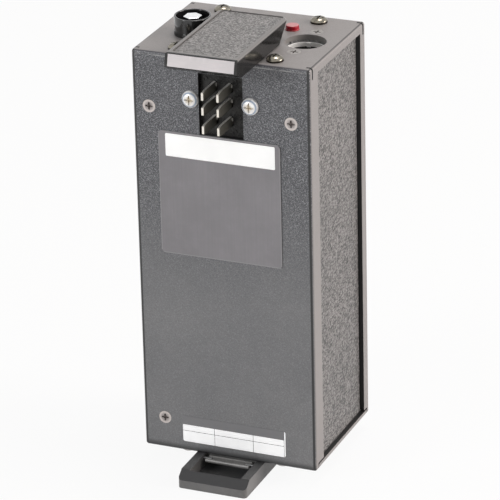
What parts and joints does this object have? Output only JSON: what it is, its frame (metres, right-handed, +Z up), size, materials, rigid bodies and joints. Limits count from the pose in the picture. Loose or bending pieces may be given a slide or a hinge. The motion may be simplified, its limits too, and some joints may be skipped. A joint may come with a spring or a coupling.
{
  "type": "stroboscope power module",
  "caption": "Upright battery power module of an electronic flash, with a blade plug, a hinged clip-on latch, a foot hook, a push button and a round socket.",
  "frame": {"origin": "on the plane that the foot rests on, under the middle of the case", "axes": "+X to the right as seen from the front, +Y to the rear away from the blade plug, +Z up"},
  "size_m": [0.074, 0.0796, 0.1841],
  "materials": {
    "black_cover": "satin black",
    "black_moulding": "glossy black moulding",
    "black_turned": "glossy black",
    "board_laminate": "green laminate",
    "brass_contact": "plain brass",
    "bright_ring": "bright",
    "capacitor_sleeve": "sleeved can",
    "case_paint": "satin grey enamel with a fine texture",
    "cell_can": "bright can",
    "chromed_cap": "bright",
    "clear_glass": "clear",
    "dark_casting": "dark casting",
    "ferrite": "laminated core",
    "foot_paint": "satin black on a casting",
    "grained_inset": "grey grained covering",
    "grained_skin": "grey grained covering",
    "grey_plate": "satin grey",
    "inner_steel": "plain sheet",
    "label_film": "label film with a dark heading band",
    "nickel_blade": "nickel plated",
    "nickel_screw": "nickel plated brass",
    "plated_screw": "plated",
    "red_lens": "translucent red",
    "rubber_pad": "foam rubber",
    "satin_metal": "satin",
    "sink_aluminium": "black anodised",
    "spring_steel": "plain wire",
    "white_print": "white band",
    "winding_tape": "yellow tape over copper wire",
    "zinc_screw": "bright zinc"
  },
  "bodies": {
    "case": {"battery_cells": "cell_can", "battery_pad": "rubber_pad", "battery_tray": "inner_steel", "board_screws": "plated_screw", "board_standoffs": "brass_contact", "bottom_panel": "case_paint", "bottom_screws": "plated_screw", "bracket_screws": "plated_screw", "button_collar": "black_turned", "button_nut": "plated_screw", "button_spring": "spring_steel", "cell_links": "nickel_blade", "converter_board": "board_laminate", "deck_plate": "inner_steel", "face_plate": "grey_plate", "foot_bar": "satin_metal", "foot_hook": "foot_paint", "foot_pins": "spring_steel", "foot_screws": "plated_screw", "form_label": "label_film", "front_panel": "case_paint", "front_screws": "plated_screw", "fuse_clips": "brass_contact", "fuse_link": "clear_glass", "heat_sink": "sink_aluminium", "lamp_bulb": "clear_glass", "lamp_holder": "black_moulding", "lamp_lens": "red_lens", "latch_bracket": "inner_steel", "latch_pin": "spring_steel", "latch_spring": "spring_steel", "plate_strip": "white_print", "plug_blades": "nickel_blade", "plug_block": "black_moulding", "plug_nuts": "plated_screw", "plug_screws": "zinc_screw", "rear_panel": "case_paint", "rear_screws": "plated_screw", "side_panel_left": "inner_steel", "side_panel_right": "inner_steel", "side_skin_left": "grained_skin", "side_skin_right": "grained_skin", "socket_contacts": "brass_contact", "socket_insert": "black_moulding", "socket_ring": "bright_ring", "socket_screws": "zinc_screw", "socket_shell": "dark_casting", "storage_capacitors": "capacitor_sleeve", "switch_body": "black_moulding", "switch_lugs": "brass_contact", "top_panel": "case_paint", "top_screws": "nickel_screw", "transformer_core": "ferrite", "transformer_winding": "winding_tape", "transistors": "black_moulding"},
    "latch": {"latch_cover": "black_cover", "latch_inset": "grained_inset", "latch_nose_plate": "satin_metal"},
    "button": {"button_cap": "chromed_cap"}
  },
  "joints": [
    {"name": "latch_hinge", "type": "hinge", "parent": "case", "child": "latch", "pos_m": [0.00115, -0.00395, 0.18], "axis": [-1, 0, 0], "range_deg": [0, 42], "stiffness_Nm_per_rad": 0.02, "springref_deg": -20.05},
    {"name": "button_slide", "type": "slide", "parent": "case", "child": "button", "axis": [0, 0, -1], "range_m": [0, 0.0015], "stiffness_N_per_m": 400, "springref_m": -0.001, "deforming": ["button_spring"]}
  ]
}
